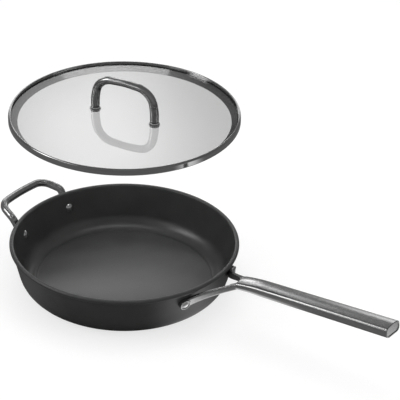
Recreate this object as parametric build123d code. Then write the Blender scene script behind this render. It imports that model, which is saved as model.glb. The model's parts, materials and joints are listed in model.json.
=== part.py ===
from build123d import *
import os
from math import cos, pi, radians, sin, sqrt, tan

os.makedirs("parts", exist_ok=True)

# Saute pan with a glass lid, in millimetres.
# Origin: centre of the flat base. +Z up, +X along the long handle.
# The lid hangs above the pan, as it is shown, and slides down Z to its seat.

# Pan body
rim_radius = 134.0
pan_height = 58.3
lip_depth = 4.8
lip_overhang = 2.6
lip_rounding = 1.9
wall_lean = 13.7
wall_thickness = 3.4
floor_thickness = 7.5
outer_corner_radius = 28.5
inner_corner_radius = 18.6

# Base plate, pressed into the underside
plate_margin = 30.4
plate_thickness = 2.5
plate_bevel = 0.6
plate_gap = 0.15

# Rivets
shank_radius = 2.5
shank_gap = 0.1
inner_head_radius = 5.0
inner_head_height = 2.4
outer_head_radius = 4.3
outer_head_height = 2.2
head_seat_gap = 0.15
recess_radius = 5.2
recess_depth = 1.0
pad_seat_gap = 0.1
pad_sink = 0.8

# Long handle: two arms riveted to the wall, joined at a neck into a hollow grip
pad_angle = 20.1
long_rivet_drop = 11.3
pad_radius = 6.6
pad_thickness = 5.2
arm_pad_height = 11.8
arm_thickness = 4.8
arm_height = 6.8
arm_splay = 28.0
arm_rounding = 1.3
arm_wall_run = 15.0
arm_neck_run = 35.0
arm_climb = 0.40
arm_sink = 5.0
arm_end_rise = 1.4
arm_sections = 7
swell_steps = 3
neck_standoff = 34.0
neck_rise = 7.5
neck_width = 22.4
neck_thickness = 9.6
neck_hump = 0.6
web_length = 8.0
web_width = 22.0
web_end_width = 14.0
web_height = 5.0
crotch_setback = 2.0
crotch_radius = 8.0
swell_length = 32.0
swell_rise = 4.6
swell_width = 23.4
swell_thickness = 12.7
grip_length = 170.0
grip_rise = 16.3
tip_width = 26.0
tip_thickness = 14.1
grip_wall = 1.8
grip_crown_share = 0.14
grip_top_rounding_share = 0.36
grip_bottom_rounding_share = 0.42
hollow_setback = 6.0

# Cap in the open end of the grip
cap_length = 9.0
cap_inset = 0.8
cap_gap = 0.12

# Helper handle: one bent rod with a flattened pad at each end
rod_radius = 4.5
helper_pad_angle = 18.9
helper_rivet_drop = 14.5
helper_pad_width = 13.0
helper_pad_rise = 7.0
helper_pad_thickness = 4.6
leg_start_rise = 8.5
leg_start_reach = 6.4
leg_standoff = 6.5
leg_bend_rise = -0.3
leg_bend_radius = 9.0
leg_flare = 3.2
bar_taper = 7.8
bar_standoff = 24.6
bar_rise = 6.1
bar_bow = 3.0
bar_corner_radius = 18.0
bar_bow_share = 0.46

# Lid: flat glass held in a steel ring
lid_lift = 159.2
lid_seat_gap = 0.3
lid_turn = 9.0
ring_inset = 2.7
ring_height = 8.0
ring_bead_width = 2.7
ring_bead_rounding = 1.8
ring_foot_rounding = 1.2
ring_lip = 2.8
ring_wall = 1.4
skirt_width = 11.0
skirt_depth = 3.7
skirt_slope = 35.0
skirt_sheet = 0.8
glass_thickness = 4.0
glass_bevel = 0.8
glass_edge_gap = 0.15

# Lid handle: a bent bar on two feet
lid_foot_radius = 4.95
lid_shoulder_radius = 4.65
lid_bar_radius = 4.2
lid_bar_span = 76.8
lid_bar_height = 40.0
lid_bar_crown = 2.1
lid_leg_length = 10.0
lid_leg_inset = 4.3
lid_leg_bend_radius = 60.0
lid_bar_corner_radius = 21.5
lid_bar_crown_radius = 90.0
collar_radius = 5.55
collar_height = 0.8
top_gasket_radius = 5.2
top_gasket_height = 1.1
bottom_gasket_radius = 6.5
bottom_gasket_height = 1.2
washer_radius = 6.0
washer_height = 1.0
screw_radius = 2.0
screw_gap = 0.2
screw_head_radius = 4.2
screw_head_height = 2.4
screw_reach = 9.0
screw_slot_width = 1.1
screw_slot_depth = 1.2
screw_tap_gap = 0.1
glass_hole_radius = 3.0

# Reach of the cutting shapes past what they cut
overrun = 6.0

lip_bottom = pan_height - lip_depth
wall_slope = tan(radians(wall_lean))
wall_across = wall_thickness / cos(radians(wall_lean))

long_rivet_height = lip_bottom - long_rivet_drop
neck_reach = rim_radius + neck_standoff
neck_height = pan_height + neck_rise
swell_reach = neck_reach + swell_length
swell_height = neck_height + swell_rise
tip_reach = swell_reach + grip_length
tip_height = swell_height + grip_rise

helper_rivet_height = lip_bottom - helper_rivet_drop
bar_reach = rim_radius + bar_standoff
bar_height = pan_height + bar_rise

ring_radius = rim_radius - ring_inset
channel_radius = ring_radius - ring_wall


def outer_wall_radius(height):
    return rim_radius - lip_overhang - (lip_bottom - height) * wall_slope


def inner_wall_radius(height):
    return outer_wall_radius(height) - wall_across


plate_radius = outer_wall_radius(0) - plate_margin


def turned(points, rounding):
    """Solid turned about Z from an outline of (radius, height) points."""
    outline = FilletPolyline(*points, radius=rounding, close=True)
    return revolve(Plane.XZ * make_face(outline), Axis.Z)


def wall_plane(angle, height, radius=None):
    """Plane on the wall's outside at an azimuth, its Z along the outward normal, its Y up the wall."""
    reach = outer_wall_radius(height) if radius is None else radius
    turn, lean = radians(angle), radians(wall_lean)
    outward = Vector(cos(turn) * cos(lean), sin(turn) * cos(lean), -sin(lean))
    origin = Vector(cos(turn) * reach, sin(turn) * reach, height)
    return Plane(origin, x_dir=Vector(-sin(turn), cos(turn), 0), z_dir=outward)


def wall_clearance(gap):
    """Everything inside the wall's outside face, grown by a gap: cuts pads to the wall's curve."""
    grown = gap / cos(radians(wall_lean))
    low, high = -overrun, lip_bottom
    cone = FilletPolyline((0, low), (outer_wall_radius(low) + grown, low),
                          (outer_wall_radius(high) + grown, high), (0, high),
                          radius=0, close=True)
    return revolve(Plane.XZ * make_face(cone), Axis.Z)


# Pan

def rivet_holes(angle, height):
    """Two holes through the wall, one each side of the handle's centre line."""
    depth = wall_thickness + 2 * overrun
    holes = []
    for side in (angle, -angle):
        place = wall_plane(side, height).offset(overrun)
        holes.append(extrude(place * Circle(shank_radius + shank_gap), -depth))
    return holes


def make_pan_body():
    recess = plate_radius + plate_gap
    points = [
        (0, plate_thickness),
        (recess, plate_thickness),
        (recess, 0),
        (outer_wall_radius(0), 0),
        (outer_wall_radius(lip_bottom), lip_bottom),
        (rim_radius, lip_bottom),
        (rim_radius, pan_height),
        (inner_wall_radius(pan_height), pan_height),
        (inner_wall_radius(floor_thickness), floor_thickness),
        (0, floor_thickness),
    ]
    rounding = [0, 0, 0, outer_corner_radius, 0, lip_rounding, lip_rounding, lip_rounding / 2,
                inner_corner_radius, 0]
    body = turned(points, rounding)
    for hole in rivet_holes(pad_angle, long_rivet_height):
        body -= hole
    for hole in rivet_holes(helper_pad_angle, helper_rivet_height):
        body -= hole.mirror(Plane.YZ)
    return body


def make_base_plate():
    disc = extrude(Circle(plate_radius), plate_thickness)
    return chamfer(disc.edges().sort_by(Axis.Z)[0], plate_bevel)


def dome(radius, height):
    """Spherical cap standing on XY."""
    ball = (radius ** 2 + height ** 2) / (2 * height)
    cap = Pos(0, 0, height - ball) * Sphere(ball)
    return cap & Pos(0, 0, height / 2) * Box(2 * radius, 2 * radius, height)


def make_rivet(angle, height, pad):
    """Rivet through the wall and a pad: domed head inside the pan, domed head in the pad's recess."""
    place = wall_plane(angle, height)
    inside = -wall_thickness - head_seat_gap
    outside = pad + pad_seat_gap - recess_depth
    shank = Pos(0, 0, inside) * extrude(Circle(shank_radius), outside - inside)
    inner = Pos(0, 0, inside) * dome(inner_head_radius, inner_head_height).mirror(Plane.XY)
    outer = Pos(0, 0, outside) * dome(outer_head_radius, outer_head_height)
    return place.location * (shank + inner + outer)


def pad_cuts(angle, height, pad):
    """Rivet hole and head recess of a pad."""
    place = wall_plane(angle, height)
    hole = extrude(Circle(shank_radius + shank_gap), pad + overrun)
    recess = Pos(0, 0, pad + pad_seat_gap - recess_depth) * extrude(Circle(recess_radius), overrun)
    return place.location * (Pos(0, 0, -overrun / 2) * hole + recess)


# Long handle

def curve_point(ends, share):
    """Point and direction on a cubic curve given by its four control points."""
    a, b, c, d = ends
    rest = 1 - share
    point = a * rest ** 3 + b * (3 * rest ** 2 * share) + c * (3 * rest * share ** 2) + d * share ** 3
    way = (b - a) * rest ** 2 + (c - b) * (2 * rest * share) + (d - c) * share ** 2
    return point, way.normalized()


def make_arm():
    """Arm on the +Y side: along the wall from its pad, then out and up into the neck."""
    turn, lean, splay = radians(pad_angle), radians(wall_lean), radians(arm_splay)
    half = arm_thickness / 2
    pad = wall_plane(pad_angle, long_rivet_height)
    start = pad.origin + pad.z_dir * (half + pad_seat_gap - pad_sink / 2)
    end_side = neck_width / 2 - half / cos(splay) - arm_sink * tan(splay)
    end = Vector(neck_reach + arm_sink, end_side, neck_height + arm_end_rise)
    along_wall = Vector(sin(turn), -cos(turn), sin(lean))
    to_neck = Vector(cos(splay), -sin(splay), arm_climb)
    ends = (start, start + along_wall * arm_wall_run, end - to_neck * arm_neck_run, end)
    sections = []
    for step in range(arm_sections):
        share = step / (arm_sections - 1)
        point, way = curve_point(ends, share)
        up = pad.y_dir * (1 - share) + Vector(0, 0, share)
        height = arm_height + (arm_pad_height - arm_height) * (1 - share) ** 2
        place = Plane(point, x_dir=up.cross(way), z_dir=way)
        sections.append(place * RectangleRounded(arm_thickness, height, arm_rounding))
    disc = extrude(pad.offset(-pad_sink) * Circle(pad_radius), pad_thickness + pad_seat_gap + pad_sink)
    return loft(sections) + disc


def grip_section(reach, height, width, thickness):
    """Section of the grip: low crown on top, rounder below, square to the grip's line."""
    line = Vector(tip_reach - neck_reach, 0, tip_height - neck_height).normalized()
    place = Plane(Vector(reach, 0, height), x_dir=Vector(0, 1, 0), z_dir=line)
    side, top = width / 2, thickness / 2
    shoulder = top - thickness * grip_crown_share
    edges = Polyline((-side, shoulder), (-side, -top), (side, -top), (side, shoulder))
    edges += ThreePointArc((side, shoulder), (0, top), (-side, shoulder))
    oval = make_face(edges)
    oval = fillet(oval.vertices().group_by(Axis.Y)[-1], thickness * grip_top_rounding_share)
    oval = fillet(oval.vertices().group_by(Axis.Y)[0], thickness * grip_bottom_rounding_share)
    return place * oval


def at_reach(reach, start, end):
    """Value at a reach along the grip, between the swell behind the neck and the tip."""
    share = (reach - swell_reach) / (tip_reach - swell_reach)
    return start + (end - start) * share


def grip_slice(reach, inset=0):
    """Section of the grip anywhere from the swell to the tip, drawn in by an inset."""
    width = at_reach(reach, swell_width, tip_width) - 2 * inset
    thickness = at_reach(reach, swell_thickness, tip_thickness) - 2 * inset
    return grip_section(reach, at_reach(reach, swell_height, tip_height), width, thickness)


def swell_slice(share):
    """Section of the swell, from the neck at share 0 to the straight grip at share 1."""
    reach = neck_reach + (swell_reach - neck_reach) * share
    height = neck_height + (swell_height - neck_height) * share + neck_hump * sin(pi * share)
    width = neck_width + (swell_width - neck_width) * share
    return grip_section(reach, height, width, neck_thickness + (swell_thickness - neck_thickness) * share)


def make_web():
    """Slab between the two arms at the neck, with a round crotch."""
    across, forward = Vector(0, 1, 0), Vector(1, 0, 0)
    start = Vector(neck_reach - web_length, 0, neck_height - web_length * arm_climb)
    low = Plane(start, x_dir=across, z_dir=forward)
    high = Plane(Vector(neck_reach + arm_sink, 0, neck_height + arm_end_rise), x_dir=across, z_dir=forward)
    web = loft([low * Rectangle(web_width, web_height), high * Rectangle(web_end_width, web_height)])
    crotch = extrude(Circle(crotch_radius), 2 * neck_height)
    return web - Pos(neck_reach - crotch_setback - crotch_radius, 0, 0) * crotch


def make_long_handle():
    arm = make_arm()
    swell = loft([swell_slice(step / swell_steps) for step in range(swell_steps + 1)])
    grip = loft([grip_slice(swell_reach), grip_slice(tip_reach)])
    handle = swell + grip + make_web() + arm + arm.mirror(Plane.XZ)
    hollow_start = swell_reach + hollow_setback
    handle -= loft([grip_slice(hollow_start, grip_wall), grip_slice(tip_reach + overrun, grip_wall)])
    handle -= wall_clearance(pad_seat_gap)
    for side in (pad_angle, -pad_angle):
        handle -= pad_cuts(side, long_rivet_height, pad_thickness)
    return handle


def make_end_cap():
    outer = tip_reach - cap_inset
    inset = grip_wall + cap_gap
    return loft([grip_slice(outer - cap_length, inset), grip_slice(outer, inset)])


# Helper handle

def helper_leg_points():
    """Route of the rod on the +Y side: pad, bend under the rim, corner of the bar."""
    start_height = helper_rivet_height + leg_start_rise
    start = outer_wall_radius(start_height) + leg_start_reach
    bend = rim_radius + leg_standoff
    spread = outer_wall_radius(helper_rivet_height) * sin(radians(helper_pad_angle))
    bend_spread = spread + leg_flare
    return [
        Vector(sqrt(start ** 2 - spread ** 2), spread, start_height),
        Vector(sqrt(bend ** 2 - bend_spread ** 2), bend_spread, pan_height + leg_bend_rise),
        Vector(bar_reach, bend_spread - bar_taper, bar_height),
    ]


def make_helper_handle():
    leg = helper_leg_points()
    middle = Vector(bar_reach + bar_bow, 0, bar_height)
    other = [Vector(point.X, -point.Y, point.Z) for point in reversed(leg)]
    bow_radius = bar_bow_share * leg[-1].Y ** 2 / bar_bow
    route = FilletPolyline(
        *leg, middle, *other,
        radius=[leg_bend_radius, bar_corner_radius, bow_radius, bar_corner_radius, leg_bend_radius])
    start = Plane(route @ 0, z_dir=route % 0)
    handle = sweep(start * Circle(rod_radius), path=route)
    for end in (leg[0], other[-1]):
        handle += Pos(end) * Sphere(rod_radius)
    for side in (helper_pad_angle, -helper_pad_angle):
        pad = wall_plane(side, helper_rivet_height).offset(-pad_sink)
        plate = SlotCenterToCenter(helper_pad_rise, helper_pad_width, rotation=90)
        plate = Pos(0, helper_pad_rise / 2) * plate
        handle += extrude(pad * plate, helper_pad_thickness + pad_seat_gap + pad_sink)
    handle -= wall_clearance(pad_seat_gap)
    for side in (helper_pad_angle, -helper_pad_angle):
        handle -= pad_cuts(side, helper_rivet_height, helper_pad_thickness)
    return handle.mirror(Plane.YZ)


# Lid

lid_seat = pan_height + lid_seat_gap + lid_lift
glass_top = ring_height - ring_lip
glass_bottom = glass_top - glass_thickness


def make_lid_ring():
    """Band round the glass, open to the inside, with a sloping skirt that drops into the pan."""
    bead = ring_radius - ring_bead_width
    skirt_end = ring_radius - skirt_width
    run = 1 / tan(radians(skirt_slope))
    sheet_across = skirt_sheet / sin(radians(skirt_slope))
    points = [
        (skirt_end, -skirt_depth),
        (skirt_end + sheet_across, -skirt_depth),
        (skirt_end + sheet_across + skirt_depth * run, 0),
        (ring_radius, 0),
        (ring_radius, ring_height),
        (bead, ring_height),
        (bead, glass_top),
        (channel_radius, glass_top),
        (channel_radius, glass_bottom),
        (skirt_end + (skirt_depth + glass_bottom) * run, glass_bottom),
    ]
    rounding = [0, 0, 0, ring_foot_rounding, ring_bead_rounding, ring_lip / 4, 0, 0, 0, 0]
    return turned(points, rounding)


def foot_places():
    return [Pos(side * lid_bar_span / 2, 0, 0) for side in (1, -1)]


def make_lid_glass():
    glass = Circle(channel_radius - glass_edge_gap)
    disc = Pos(0, 0, glass_bottom) * extrude(glass, glass_thickness)
    disc = chamfer(disc.edges(), glass_bevel)
    reach = glass_thickness + 2 * overrun
    hole = Pos(0, 0, glass_bottom - overrun) * extrude(Circle(glass_hole_radius), reach)
    for place in foot_places():
        disc -= place * hole
    return disc


def make_lid_handle():
    foot = glass_top + top_gasket_height + collar_height
    top = glass_top + lid_bar_height
    half = lid_bar_span / 2
    leg = [(half, foot), (half, foot + lid_leg_length), (half - lid_leg_inset, top - lid_bar_crown)]
    points = leg + [(0, top)] + [(-reach, height) for reach, height in reversed(leg)]
    bends = [lid_leg_bend_radius, lid_bar_corner_radius]
    route = FilletPolyline(
        *[(reach, 0, height) for reach, height in points],
        radius=bends + [lid_bar_crown_radius] + bends[::-1])
    radii = [lid_foot_radius, lid_shoulder_radius, lid_bar_radius, lid_shoulder_radius, lid_foot_radius]
    slices = []
    for i, radius in enumerate(radii):
        share = i / (len(radii) - 1)
        slices.append(Plane(route @ share, z_dir=route % share) * Circle(radius))
    handle = sweep(slices, path=route, multisection=True)
    tapped = Pos(0, 0, foot) * extrude(Circle(screw_radius + screw_tap_gap), screw_reach + overrun)
    for place in foot_places():
        handle -= place * tapped
    return handle


def ring_disc(radius, bore, bottom, height):
    return Pos(0, 0, bottom) * extrude(Circle(radius) - Circle(bore), height)


def make_collar():
    collar = ring_disc(collar_radius, screw_radius + screw_gap, glass_top + top_gasket_height, collar_height)
    rims = collar.edges().filter_by(GeomType.CIRCLE).group_by(SortBy.RADIUS)[-1]
    return fillet(rims, collar_height / 4)


def make_top_gasket():
    return ring_disc(top_gasket_radius, screw_radius + screw_gap, glass_top, top_gasket_height)


def make_bottom_gasket():
    bottom = glass_bottom - bottom_gasket_height
    return ring_disc(bottom_gasket_radius, screw_radius + screw_gap, bottom, bottom_gasket_height)


def make_washer():
    bottom = glass_bottom - bottom_gasket_height - washer_height
    return ring_disc(washer_radius, screw_radius + screw_gap, bottom, washer_height)


def make_screw():
    """Screw from under the glass up into the handle's foot, with a driver slot in its head."""
    seat = glass_bottom - bottom_gasket_height - washer_height
    tip = glass_top + top_gasket_height + collar_height + screw_reach
    head = Pos(0, 0, seat) * dome(screw_head_radius, screw_head_height).mirror(Plane.XY)
    shank = Pos(0, 0, seat) * extrude(Circle(screw_radius), tip - seat)
    slot_top = seat - screw_head_height + screw_slot_depth
    slot = Pos(0, 0, slot_top - overrun / 2) * Box(2 * screw_head_radius, screw_slot_width, overrun)
    return head + shank - slot


# Every node

def on_lid(shape):
    """A lid piece where it hangs in the photograph, turned as it is there."""
    return Pos(0, 0, lid_seat) * Rot(0, 0, lid_turn) * shape


def all_nodes():
    nodes = {
        "pan_body": make_pan_body(),
        "base_plate": make_base_plate(),
        "long_handle": make_long_handle(),
        "handle_end_cap": make_end_cap(),
        "helper_handle": make_helper_handle(),
        "lid_ring": on_lid(make_lid_ring()),
        "lid_glass": on_lid(make_lid_glass()),
        "lid_handle": on_lid(make_lid_handle()),
    }
    for name, side in (("left", 1), ("right", -1)):
        nodes["long_rivet_" + name] = make_rivet(side * pad_angle, long_rivet_height, pad_thickness)
        helper = make_rivet(side * helper_pad_angle, helper_rivet_height, helper_pad_thickness)
        nodes["helper_rivet_" + name] = helper.mirror(Plane.YZ)
    pieces = {
        "lid_collar": make_collar(),
        "lid_top_gasket": make_top_gasket(),
        "lid_bottom_gasket": make_bottom_gasket(),
        "lid_washer": make_washer(),
        "lid_screw": make_screw(),
    }
    for name, place in zip(("front", "back"), foot_places()):
        for piece, shape in pieces.items():
            nodes[piece + "_" + name] = on_lid(place * shape)
    return nodes


for node, shape in all_nodes().items():
    export_step(shape, "parts/" + node + ".step")
    print(node, "volume", round(shape.volume / 1000, 2), "cm3")
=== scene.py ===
import json
from math import ceil, cos, pi, radians, sin, tan

import bmesh
import bpy
from mathutils import Matrix, Vector


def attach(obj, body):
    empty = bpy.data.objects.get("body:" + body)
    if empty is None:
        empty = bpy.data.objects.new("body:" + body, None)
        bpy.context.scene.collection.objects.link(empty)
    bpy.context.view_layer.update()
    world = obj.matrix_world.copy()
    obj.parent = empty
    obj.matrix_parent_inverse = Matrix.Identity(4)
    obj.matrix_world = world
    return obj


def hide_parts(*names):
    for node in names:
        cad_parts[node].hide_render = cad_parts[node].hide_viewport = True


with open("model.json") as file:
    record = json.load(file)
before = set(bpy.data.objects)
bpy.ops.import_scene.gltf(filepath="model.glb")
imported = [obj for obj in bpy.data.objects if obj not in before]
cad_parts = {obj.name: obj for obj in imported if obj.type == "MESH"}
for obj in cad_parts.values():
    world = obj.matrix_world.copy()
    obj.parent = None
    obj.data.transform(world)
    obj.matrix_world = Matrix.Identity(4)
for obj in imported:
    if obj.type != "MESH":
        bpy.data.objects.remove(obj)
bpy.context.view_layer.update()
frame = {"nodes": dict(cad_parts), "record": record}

mm = 0.001


class Wire:
    # a node's output socket that can stand in plain arithmetic
    def __init__(self, socket):
        self.socket = socket
        self.tree = socket.id_data

    def maths(self, operation, first, second=0.0):
        return addNode(self.tree, "ShaderNodeMath", {"operation": operation}, {0: first, 1: second})

    def __add__(self, other):
        return self.maths("ADD", self, other)

    def __sub__(self, other):
        return self.maths("SUBTRACT", self, other)

    def __rsub__(self, other):
        return self.maths("SUBTRACT", other, self)

    def __mul__(self, other):
        return self.maths("MULTIPLY", self, other)

    def __truediv__(self, other):
        return self.maths("DIVIDE", self, other)

    def __rtruediv__(self, other):
        return self.maths("DIVIDE", other, self)

    def __pow__(self, other):
        return self.maths("POWER", self, other)

    def __rpow__(self, other):
        return self.maths("POWER", other, self)

    def __abs__(self):
        return self.maths("ABSOLUTE", self)

    __radd__ = __add__
    __rmul__ = __mul__


def addNode(tree, kind, settings=None, values=None, out=0):
    node = tree.nodes.new(kind)
    for key, value in (settings or {}).items():
        setattr(node, key, value)
    for key, value in (values or {}).items():
        if isinstance(value, Wire):
            tree.links.new(value.socket, node.inputs[key])
        else:
            node.inputs[key].default_value = value
    return Wire(node.outputs[out]) if node.outputs else None


def outputsOf(wire):
    return {socket.name: Wire(socket) for socket in wire.socket.node.outputs}


def fade(value, low, high):  # 0 below low, 1 above high, smooth between
    return addNode(value.tree, "ShaderNodeMapRange", {"interpolation_type": "SMOOTHSTEP"},
                   {"Value": value, "From Min": low, "From Max": high})


def blendColour(factor, first, second):
    return addNode(factor.tree, "ShaderNodeMix", {"data_type": "RGBA"},
                   {"Factor": factor, 6: first, 7: second}, out=2)


def noise(vector, scale, detail=2.0, roughness=0.5):
    return addNode(vector.tree, "ShaderNodeTexNoise", None,
                   {"Vector": vector, "Scale": scale, "Detail": detail, "Roughness": roughness})


def place(tree):  # the point in the object's own frame, in metres
    return addNode(tree, "ShaderNodeTexCoord", None, None, out="Object")


def splitVector(vector):
    split = outputsOf(addNode(vector.tree, "ShaderNodeSeparateXYZ", None, {0: vector}))
    return split["X"], split["Y"], split["Z"]


def joinVector(x, y, z):
    return addNode(x.tree, "ShaderNodeCombineXYZ", None, {0: x, 1: y, 2: z})


def bump(height, strength, distance):
    return addNode(height.tree, "ShaderNodeBump", None,
                   {"Height": height, "Strength": strength, "Distance": distance})


def newMaterial(name):
    material = bpy.data.materials.new(name)
    material.use_nodes = True
    material.node_tree.nodes.clear()
    return material, material.node_tree


def showSurface(tree, shader):
    addNode(tree, "ShaderNodeOutputMaterial", None, {"Surface": shader})


def grey(level):
    return (level, level, level, 1.0)


# scales count the noise's cells in a metre; depth and wallBlend are in metres
coatLook = {"dark": 0.029, "light": 0.043, "toneFrom": 0.3, "toneTo": 0.7, "gloss": 0.90,
            "insideRough": 0.35, "outsideRough": 0.42, "mottleRough": 0.06, "ringRough": 0.04,
            "ringScale": 1400, "grainScale": 1800.0, "mottleScale": 38.0, "mottleShare": 0.6,
            "ringShare": 0.6, "relief": 0.06, "depth": 0.0002, "wallBlend": 0.0006}


def makeCoat():
    # dark hard coat: fine turning rings, a faint mottle, smoother inside the pan than outside
    c = coatLook
    material, tree = newMaterial("hardCoat")
    vector = place(tree)
    x, y, z = splitVector(vector)
    radius = (x * x + y * y) ** 0.5
    rings = noise(joinVector(radius * c["ringScale"], z * c["ringScale"], 0.0), 1.0, detail=3.0)
    grain = noise(vector, c["grainScale"])
    mottle = noise(vector, c["mottleScale"], detail=3.0)
    tone = fade(mottle * c["mottleShare"] + grain * (1 - c["mottleShare"]), c["toneFrom"], c["toneTo"])
    colour = blendColour(tone, grey(c["dark"]), grey(c["light"]))
    wallMiddle = z * wallSlope() + (wallOutside(0) - panLook["wallAcross"] / 2) * mm
    outside = fade(radius - wallMiddle, -c["wallBlend"], c["wallBlend"])
    rough = outside * (c["outsideRough"] - c["insideRough"]) + c["insideRough"]
    rough = rough + (mottle - 0.5) * c["mottleRough"] + (rings - 0.5) * c["ringRough"]
    grooves = rings * c["ringShare"] + grain * (1 - c["ringShare"])
    shader = addNode(tree, "ShaderNodeBsdfPrincipled", None, {
        "Base Color": colour, "Roughness": rough, "Normal": bump(grooves, c["relief"], c["depth"]),
        "Metallic": 0.0, "Specular IOR Level": c["gloss"]})
    showSurface(tree, shader)
    return material


# level is the steel's grey and spread how far its streaks change the roughness;
# along and across count the streaks in a metre
steels = {
    "base_steel": {"name": "baseSteel", "level": 0.42, "rough": 0.38, "spread": 0.16,
                   "along": 30, "across": 1500, "relief": 0.25, "turned": True},
    "handle_steel": {"name": "handleSteel", "level": 0.50, "rough": 0.24, "spread": 0.10,
                     "along": 18, "across": 1600, "relief": 0.05, "turned": False},
    "cap_steel": {"name": "capSteel", "level": 0.55, "rough": 0.25, "spread": 0.16,
                  "along": 300, "across": 900, "relief": 0.05, "turned": False},
    "rivet_steel": {"name": "rivetSteel", "level": 0.90, "rough": 0.16, "spread": 0.06,
                    "along": 400, "across": 700, "relief": 0.03, "turned": False},
    "ring_steel": {"name": "ringSteel", "level": 0.48, "rough": 0.09, "spread": 0.06,
                   "along": 20, "across": 1200, "relief": 0.03, "turned": True},
    "lid_bar_steel": {"name": "lidBarSteel", "level": 0.50, "rough": 0.20, "spread": 0.06,
                      "along": 60, "across": 900, "relief": 0.03, "turned": False},
    "fitting_steel": {"name": "fittingSteel", "level": 0.60, "rough": 0.16, "spread": 0.06,
                      "along": 400, "across": 700, "relief": 0.03, "turned": False},
}
streakLook = {"dark": 0.88, "light": 1.09, "toneFrom": 0.25, "toneTo": 0.75, "detail": 4.0, "mix": 0.6,
              "roundShare": 0.1, "cloudScale": 45.0, "cloudRough": 0.05, "depth": 0.0001}


def makeSteel(look):
    # brushed steel: streaks along X, or round the Z axis where it is turned
    s = streakLook
    material, tree = newMaterial(look["name"])
    vector = place(tree)
    x, y, z = splitVector(vector)
    along, across = look["along"], look["across"]
    if look["turned"]:
        radius = (x * x + y * y) ** 0.5
        angle = addNode(tree, "ShaderNodeMath", {"operation": "ARCTAN2"}, {0: y, 1: x})
        streakPlace = joinVector(radius * across, angle * (along * s["roundShare"]), z * across)
    else:
        streakPlace = joinVector(x * along, y * across, z * across)
    streaks = noise(streakPlace, 1.0, s["detail"], s["mix"])
    cloud = noise(vector, s["cloudScale"])
    tone = fade(streaks, s["toneFrom"], s["toneTo"])
    colour = blendColour(tone, grey(look["level"] * s["dark"]), grey(min(1.0, look["level"] * s["light"])))
    rough = look["rough"] + (streaks - 0.5) * look["spread"] + (cloud - 0.5) * s["cloudRough"]
    shader = addNode(tree, "ShaderNodeBsdfPrincipled", None, {
        "Base Color": colour, "Roughness": rough, "Normal": bump(streaks, look["relief"], s["depth"]),
        "Metallic": 1.0})
    showSurface(tree, shader)
    return material


# tint is the grey of the glass to look through, shade what it lets through of the lamps' light
glassLook = {"tint": 0.61, "ior": 1.75, "shade": 0.93, "rough": 0.015, "smearRough": 0.03,
             "smearScale": 30.0, "smearFrom": 0.2, "smearTo": 1.2}


def makeGlass():
    # clear lid glass: lamps shine through it, so that it throws no dark shadow
    g = glassLook
    material, tree = newMaterial("lidGlass")
    smear = fade(noise(place(tree), g["smearScale"], detail=3.0), g["smearFrom"], g["smearTo"])
    shader = addNode(tree, "ShaderNodeBsdfPrincipled", None, {
        "Base Color": grey(g["tint"]), "Roughness": smear * g["smearRough"] + g["rough"],
        "IOR": g["ior"], "Transmission Weight": 1.0})
    clear = addNode(tree, "ShaderNodeBsdfTransparent", None, {"Color": grey(g["shade"])})
    shadow = addNode(tree, "ShaderNodeLightPath", None, None, out="Is Shadow Ray")
    showSurface(tree, addNode(tree, "ShaderNodeMixShader", None, {0: shadow, 1: shader, 2: clear}))
    return material


rubberLook = {"dark": 0.42, "light": 0.58, "rough": 0.45, "spread": 0.2, "grainScale": 900.0, "relief": 0.2,
              "depth": 0.0001}


def makeRubber():
    r = rubberLook
    material, tree = newMaterial("gasketRubber")
    grain = noise(place(tree), r["grainScale"], detail=3.0)
    shader = addNode(tree, "ShaderNodeBsdfPrincipled", None, {
        "Base Color": blendColour(grain, grey(r["dark"]), grey(r["light"])),
        "Roughness": grain * r["spread"] + r["rough"], "Normal": bump(grain, r["relief"], r["depth"])})
    showSurface(tree, shader)
    return material


# how finely the pieces are made, lengths in mm and angles in degrees
fine = {"turns": 360, "arcStep": 9.0, "lineSteps": 3, "support": 0.5, "shortest": 3.0, "onAxis": 1e-4,
        "crease": 35.0, "softCrease": 80.0}


def roundedOutline(corners):
    # corners as (radius, height, rounding) in mm
    # a long straight stretch gets a point near each end, which keeps it flat
    spots = [Vector(corner[:2]) for corner in corners]
    outline = []
    for i, (here, corner) in enumerate(zip(spots, corners)):
        rounding = corner[2]
        before, after = spots[i - 1] - here, spots[(i + 1) % len(spots)] - here
        toBefore, toAfter = before.normalized(), after.normalized()
        half = toBefore.angle(toAfter) / 2
        reach = rounding / tan(half)
        if before.length > fine["shortest"] + reach:
            outline.append(here + toBefore * (reach + fine["support"]))
        if rounding:
            centre = here + (toBefore + toAfter).normalized() * (rounding / sin(half))
            first, last = here + toBefore * reach - centre, here + toAfter * reach - centre
            total = first.angle(last)
            steps = max(2, ceil(total / radians(fine["arcStep"])))
            for k in range(steps + 1):
                part = total * k / steps
                outline.append(centre + (first * sin(total - part) + last * sin(part)) / sin(total))
        else:
            outline.append(here)
        if after.length > fine["shortest"] + reach:
            outline.append(here + toAfter * (reach + fine["support"]))
    return outline


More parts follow.
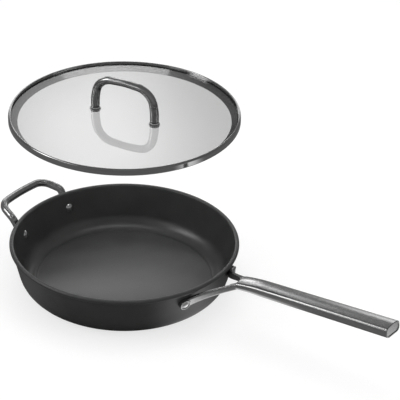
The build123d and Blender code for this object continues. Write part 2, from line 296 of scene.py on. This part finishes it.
def lathe(name, outline, replaced, lift=0.0):
    # closed outline turned about Z, in mm; points on the axis become poles
    mesh = bpy.data.meshes.new(name)
    bm = bmesh.new()
    turns = fine["turns"]
    ways = [(cos(2 * pi * k / turns), sin(2 * pi * k / turns)) for k in range(turns)]
    rings = []
    for radius, height in outline:
        z = (height + lift) * mm
        if radius < fine["onAxis"]:
            rings.append([bm.verts.new((0, 0, z))])
        else:
            rings.append([bm.verts.new((x * radius * mm, y * radius * mm, z)) for x, y in ways])
    for ring, following in zip(rings, rings[1:] + rings[:1]):
        for k in range(turns):
            after = (k + 1) % turns
            corners = [ring[k % len(ring)], ring[after % len(ring)],
                       following[after % len(following)], following[k % len(following)]]
            corners = list(dict.fromkeys(corners))
            if len(corners) > 2:
                bm.faces.new(corners)
    bmesh.ops.recalc_face_normals(bm, faces=bm.faces)
    bm.to_mesh(mesh)
    bm.free()
    return dress(name, mesh, replaced, fine["crease"])


def dress(name, mesh, replaced, crease):
    # a piece that stands for one CAD node, with its finish and its body
    mesh.shade_smooth()
    mesh.set_sharp_from_angle(angle=radians(crease))
    obj = bpy.data.objects.new(name, mesh)
    bpy.context.scene.collection.objects.link(obj)
    mesh.materials.clear()
    mesh.materials.append(finishes[slotOf[replaced]])
    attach(obj, bodyOf[replaced])
    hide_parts(replaced)
    return obj


# sizes of the turned pieces are in mm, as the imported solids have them, but for some edges
# that are rounder here, the line on the pan's floor and the plate's grooves
panLook = {"rim": 134.0, "height": 58.3, "lipBottom": 53.5, "lipRound": 1.9, "lipTopRound": 2.3,
           "underLip": 0.9, "wallTop": 131.4, "wallLean": 13.7, "wallAcross": 3.5, "floor": 7.5,
           "outerCorner": 28.5, "innerCorner": 18.6, "plateRecess": 88.11, "plateDepth": 2.5,
           "recessRound": 0.3, "floorLine": 103.0, "floorLineHeight": 0.30, "floorLineWidth": 0.8}


def wallSlope():
    return tan(radians(panLook["wallLean"]))


def wallOutside(height):
    return panLook["wallTop"] - (panLook["lipBottom"] - height) * wallSlope()


def wallInside(height):
    return wallOutside(height) - panLook["wallAcross"]


def makePan():
    p = panLook
    corners = [
        (0, p["plateDepth"], 0),
        (p["plateRecess"], p["plateDepth"], 0),
        (p["plateRecess"], 0, p["recessRound"]),
        (wallOutside(0), 0, p["outerCorner"]),
        (wallOutside(p["lipBottom"]), p["lipBottom"], p["underLip"]),
        (p["rim"], p["lipBottom"], p["lipRound"]),
        (p["rim"], p["height"], p["lipTopRound"]),
        (wallInside(p["height"]), p["height"], p["lipTopRound"]),
        (wallInside(p["floor"]), p["floor"], p["innerCorner"]),
        (0, p["floor"], 0),
    ]
    # the first and last points lie on the axis, where no face needs them
    outline = roundedOutline(corners)[1:-1]
    # a low turned line laid over the edge of the flat floor, before the floor's two middle points
    line, width, steps = p["floorLine"], p["floorLineWidth"], fine["lineSteps"]
    ridge = []
    for k in range(steps - 1, -steps - 1, -1):
        rise = p["floorLineHeight"] * cos(pi / 2 * k / steps)
        ridge.append(Vector((line + width * k / steps, p["floor"] + rise)))
    return lathe("panShell", outline[:-2] + ridge + outline[-2:], "pan_body")


plateLook = {"radius": 87.9, "thickness": 2.45, "bevel": 0.6, "firstGroove": 12.0, "grooveStep": 8.0,
             "grooveDepth": 0.25, "grooveWidth": 0.8}


def makePlate():
    # underside plate with turned grooves
    p = plateLook
    outline = [Vector((0, 0)), Vector((0, p["thickness"])), Vector((p["radius"], p["thickness"])),
               Vector((p["radius"], p["bevel"])), Vector((p["radius"] - p["bevel"], 0))]
    grooves = []
    middle = p["firstGroove"]
    while middle < p["radius"] - p["grooveStep"] / 2:
        grooves.append(middle)
        middle += p["grooveStep"]
    for middle in reversed(grooves):
        outline += [Vector((middle + p["grooveWidth"], 0)), Vector((middle, p["grooveDepth"])),
                    Vector((middle - p["grooveWidth"], 0))]
    return lathe("basePlate", outline, "base_plate")


# height, bead and lip stand above the seat; the skirt hangs below it and slopes inwards
ringLook = {"seat": 217.8, "outer": 131.3, "height": 8.0, "bead": 2.7, "beadRound": 1.8, "footRound": 1.2,
            "lip": 2.8, "lipRound": 0.7, "channel": 129.9, "glassThickness": 4.0, "skirtWidth": 11.0,
            "skirtDepth": 3.7, "skirtSlope": 35.0, "skirtSheet": 0.8, "edge": 0.25}


def makeRing():
    r = ringLook
    glassTop = r["height"] - r["lip"]
    glassBottom = glassTop - r["glassThickness"]
    skirtEnd, bead = r["outer"] - r["skirtWidth"], r["outer"] - r["bead"]
    run, across = 1 / tan(radians(r["skirtSlope"])), r["skirtSheet"] / sin(radians(r["skirtSlope"]))
    corners = [
        (skirtEnd, -r["skirtDepth"], r["edge"]),
        (skirtEnd + across, -r["skirtDepth"], r["edge"]),
        (skirtEnd + across + r["skirtDepth"] * run, 0, r["edge"]),
        (r["outer"], 0, r["footRound"]),
        (r["outer"], r["height"], r["beadRound"]),
        (bead, r["height"], r["lipRound"]),
        (bead, glassTop, 0),
        (r["channel"], glassTop, 0),
        (r["channel"], glassBottom, 0),
        (skirtEnd + (r["skirtDepth"] + glassBottom) * run, glassBottom, 0),
    ]
    return lathe("lidRing", roundedOutline(corners), "lid_ring", lift=r["seat"])


# the bent steel pieces are copied; the voxel is in mm
copyLook = {"voxel": {"long_handle": 0.45, "helper_handle": 0.45, "lid_handle": 0.40},
            "smooth": 6, "factor": 0.5}


def smoothCopy(name, replaced):
    # the node's own shape as an even fine mesh, so that curved steel reflects smoothly
    scratch = bpy.data.objects.new(name + "Raw", frame["nodes"][replaced].data.copy())
    bpy.context.scene.collection.objects.link(scratch)
    remesh = scratch.modifiers.new("even", "REMESH")
    remesh.mode = "VOXEL"
    remesh.voxel_size = copyLook["voxel"][replaced] * mm
    soften = scratch.modifiers.new("soften", "SMOOTH")
    soften.factor = copyLook["factor"]
    soften.iterations = copyLook["smooth"]
    graph = bpy.context.evaluated_depsgraph_get()
    mesh = bpy.data.meshes.new_from_object(scratch.evaluated_get(graph))
    bpy.data.objects.remove(scratch)
    return dress(name, mesh, replaced, fine["softCrease"])


finishes = {"hard_coat": makeCoat(), "lid_glass": makeGlass(), "gasket_rubber": makeRubber()}
for slot, look in steels.items():
    finishes[slot] = makeSteel(look)
print("finishes made", len(finishes))

bodyOf = {node: body for body, nodes in frame["record"]["behaviour"]["bodies"].items() for node in nodes}
slotOf = {part["node"]: part["material_slot"] for part in frame["record"]["subparts"]}
for name, node in frame["nodes"].items():
    node.data.materials.clear()
    node.data.materials.append(finishes[slotOf[name]])
    node.data.shade_smooth()
    node.data.set_sharp_from_angle(angle=radians(fine["crease"]))
print("nodes dressed", len(frame["nodes"]))

panShell = makePan()
basePlate = makePlate()
lidRing = makeRing()
longHandle = smoothCopy("longHandle", "long_handle")
helperLoop = smoothCopy("helperLoop", "helper_handle")
lidBar = smoothCopy("lidBar", "lid_handle")
for obj in (panShell, basePlate, lidRing, longHandle, helperLoop, lidBar):
    print("piece", obj.name, "faces", len(obj.data.polygons))


# lens and sensor in mm, places in metres, angles in degrees
camera = {"lens": 198.0, "sensor": 36.0, "distance": 2.566525, "elevation": 30.12, "turn": 36.5,
          "roll": -1.25, "across": -0.088106, "down": 0.047483, "rimHeight": 0.057, "farthest": 50.0}


def makeCamera():
    tilt, roll, turn = radians(camera["elevation"]), radians(camera["roll"]), radians(camera["turn"])
    forward = Vector((0, cos(tilt), -sin(tilt)))
    right = Vector((1, 0, 0))
    down = forward.cross(right)
    rolledRight = cos(roll) * right + sin(roll) * down
    rolledDown = cos(roll) * down - sin(roll) * right
    spot = -(rolledRight * camera["across"] + rolledDown * camera["down"] + forward * camera["distance"])
    spin = Matrix.Rotation(turn, 4, "Z")
    axes = Matrix((rolledRight, -rolledDown, -forward)).transposed().to_4x4()
    data = bpy.data.cameras.new("photoCamera")
    data.sensor_width = camera["sensor"]
    data.lens = camera["lens"]
    data.clip_end = camera["farthest"]
    obj = bpy.data.objects.new("photoCamera", data)
    obj.matrix_world = spin @ Matrix.Translation(spot + Vector((0, 0, camera["rimHeight"]))) @ axes
    bpy.context.scene.collection.objects.link(obj)
    bpy.context.scene.camera = obj


# places of lamps and cards: metres to the right, to the back and up, as the camera looks
lamps = {
    "topBox": {"spot": (0.05, 0.15, 1.5), "size": 1.0, "watts": 6.5},
    "leftBox": {"spot": (-1.5, -0.2, 0.9), "size": 0.9, "watts": 5.0},
    "rightBox": {"spot": (1.4, -0.5, 0.8), "size": 0.7, "watts": 3.0},
}
cards = {
    "glassCard": {"spot": (-0.085, 1.0, 0.80), "size": (0.44, 0.44), "lean": 25, "level": 2.3, "soft": 0.9},
    "floorCard": {"spot": (0.0, 0.9, 0.42), "size": (0.24, 0.20), "lean": 0, "level": 5.2, "soft": 0.9},
    "highCard": {"spot": (-0.22, 0.5, 0.88), "size": (0.20, 0.30), "lean": 0, "level": 1.8, "soft": 1.0},
    "gripCard": {"spot": (0.44, 1.2, 0.60), "size": (0.42, 0.46), "lean": 0, "level": 1.9, "soft": 0.7},
    "horizonCard": {"spot": (0.62, 1.3, 0.36), "size": (0.56, 0.50), "lean": 0, "level": 1.1, "soft": 0.8},
    "edgeCard": {"spot": (-0.55, 1.2, 0.46), "size": (0.50, 0.45), "lean": 0, "level": 2.4, "soft": 0.6},
    "leftCard": {"spot": (-1.2, -0.12, 1.0), "size": (0.7, 1.0), "lean": 0, "level": 4.0, "soft": 0.6},
    "streakCard": {"spot": (-0.95, -0.72, 0.68), "size": (0.60, 0.50), "lean": 0, "level": 2.2, "soft": 1.0},
}
# painted pools of light on the floor, seen only by reflection: metres to the right and to the back
pools = {
    "leftPool": {"spot": (-0.13, -0.06), "reach": 0.08, "level": 0.15},
    "rightPool": {"spot": (0.115, -0.105), "reach": 0.09, "level": 1.0},
    "ringPool": {"spot": (0.43, -0.24), "reach": 0.15, "level": 1.0},
}
studio = {"floorSize": 12.0, "floorGrey": 0.34, "floorLift": 0.72, "fill": 0.60, "aim": 0.12,
          "back": 0.20, "side": 0.14, "front": 0.20, "turnFrom": 0.1, "turnTo": 0.8}


def inView(spot):
    turn = radians(camera["turn"])
    right, back, up = spot
    return Vector((right * cos(turn) - back * sin(turn), right * sin(turn) + back * cos(turn), up))


def facing(spot):
    here = inView(spot)
    way = Vector((0, 0, studio["aim"])) - here
    return Matrix.Translation(here) @ way.to_track_quat("-Z", "Y").to_matrix().to_4x4()


def flatSheet(name, wide, tall):
    # a rectangle round the origin from half its width and half its height
    mesh = bpy.data.meshes.new(name)
    corners = [(-wide, -tall, 0), (wide, -tall, 0), (wide, tall, 0), (-wide, tall, 0)]
    mesh.from_pydata(corners, [], [(0, 1, 2, 3)])
    obj = bpy.data.objects.new(name, mesh)
    bpy.context.scene.collection.objects.link(obj)
    return obj


def makeLamps():
    # soft lamps that light without showing in the metal, where the cards show instead
    for name, lamp in lamps.items():
        data = bpy.data.lights.new(name, "AREA")
        data.size = lamp["size"]
        data.energy = lamp["watts"]
        obj = bpy.data.objects.new(name, data)
        obj.matrix_world = facing(lamp["spot"])
        obj.visible_glossy = False
        bpy.context.scene.collection.objects.link(obj)


def makeCards():
    # bright cards with soft edges, seen only by reflection
    for name, card in cards.items():
        wide, tall = card["size"][0] / 2, card["size"][1] / 2
        obj = flatSheet(name, wide, tall)
        obj.matrix_world = facing(card["spot"]) @ Matrix.Rotation(radians(card["lean"]), 4, "Z")
        obj.visible_camera = obj.visible_diffuse = obj.visible_transmission = obj.visible_shadow = False
        material, tree = newMaterial(name)
        x, y, z = splitVector(place(tree))
        share = fade(1 - abs(x) / wide, 0.0, card["soft"]) * fade(1 - abs(y) / tall, 0.0, card["soft"])
        glow = addNode(tree, "ShaderNodeEmission", None, {"Color": grey(1.0), "Strength": card["level"]})
        clear = addNode(tree, "ShaderNodeBsdfTransparent", None, {"Color": grey(1.0)})
        showSurface(tree, addNode(tree, "ShaderNodeMixShader", None, {0: share, 1: clear, 2: glow}))
        obj.data.materials.append(material)


def raysOf(tree):
    # rays that show the white background, and rays that have met a glossy surface
    path = outputsOf(addNode(tree, "ShaderNodeLightPath"))
    mirrored = fade(path["Glossy Depth"], 0.0, 1.0)
    shown = (path["Is Camera Ray"] + path["Is Transmission Ray"]) * (1 - mirrored)
    return shown, mirrored


def makeWorld():
    # white to look at; metal sees a dim room round the cards
    world = bpy.data.worlds.new("studioWorld")
    world.use_nodes = True
    tree = world.node_tree
    tree.nodes.clear()
    world.cycles.sampling_method = "NONE"
    x, y, z = splitVector(addNode(tree, "ShaderNodeTexCoord", None, None, out="Generated"))
    turn = radians(camera["turn"])
    back = y * cos(turn) - x * sin(turn)
    behind = fade(back, studio["turnFrom"], studio["turnTo"])
    before = fade(0 - back, studio["turnFrom"], studio["turnTo"])
    seen = behind * studio["back"] + before * studio["front"] + (1 - behind - before) * studio["side"]
    shown, mirrored = raysOf(tree)
    level = shown + mirrored * seen + (1 - shown - mirrored) * studio["fill"]
    background = addNode(tree, "ShaderNodeBackground", None, {"Color": grey(1.0), "Strength": level})
    addNode(tree, "ShaderNodeOutputWorld", None, {"Surface": background})
    bpy.context.scene.world = world


def makeFloor():
    # a matt floor that shows as white and keeps the shadow; in reflections it is grey with painted pools of
    # light
    floor = flatSheet("floor", studio["floorSize"] / 2, studio["floorSize"] / 2)
    material, tree = newMaterial("paleFloor")
    paint = addNode(tree, "ShaderNodeBsdfDiffuse", None, {"Color": grey(studio["floorGrey"])})
    x, y, z = splitVector(place(tree))
    turn = radians(camera["turn"])
    right, back = x * cos(turn) + y * sin(turn), y * cos(turn) - x * sin(turn)
    glow = 0.0
    # the painted pools of light: a glow on the floor that only reflections see
    for pool in pools.values():
        across, along = right - pool["spot"][0], back - pool["spot"][1]
        away = (across * across + along * along) ** 0.5
        glow = (1 - fade(away, 0.0, pool["reach"])) * pool["level"] + glow
    shown, mirrored = raysOf(tree)
    lift = addNode(tree, "ShaderNodeEmission", None,
                   {"Color": grey(1.0), "Strength": shown * studio["floorLift"] + mirrored * glow})
    showSurface(tree, addNode(tree, "ShaderNodeAddShader", None, {0: paint, 1: lift}))
    floor.data.materials.append(material)


makeCamera()
makeLamps()
makeCards()
makeWorld()
makeFloor()
bpy.context.scene.view_settings.view_transform = "Standard"
print("studio ready")
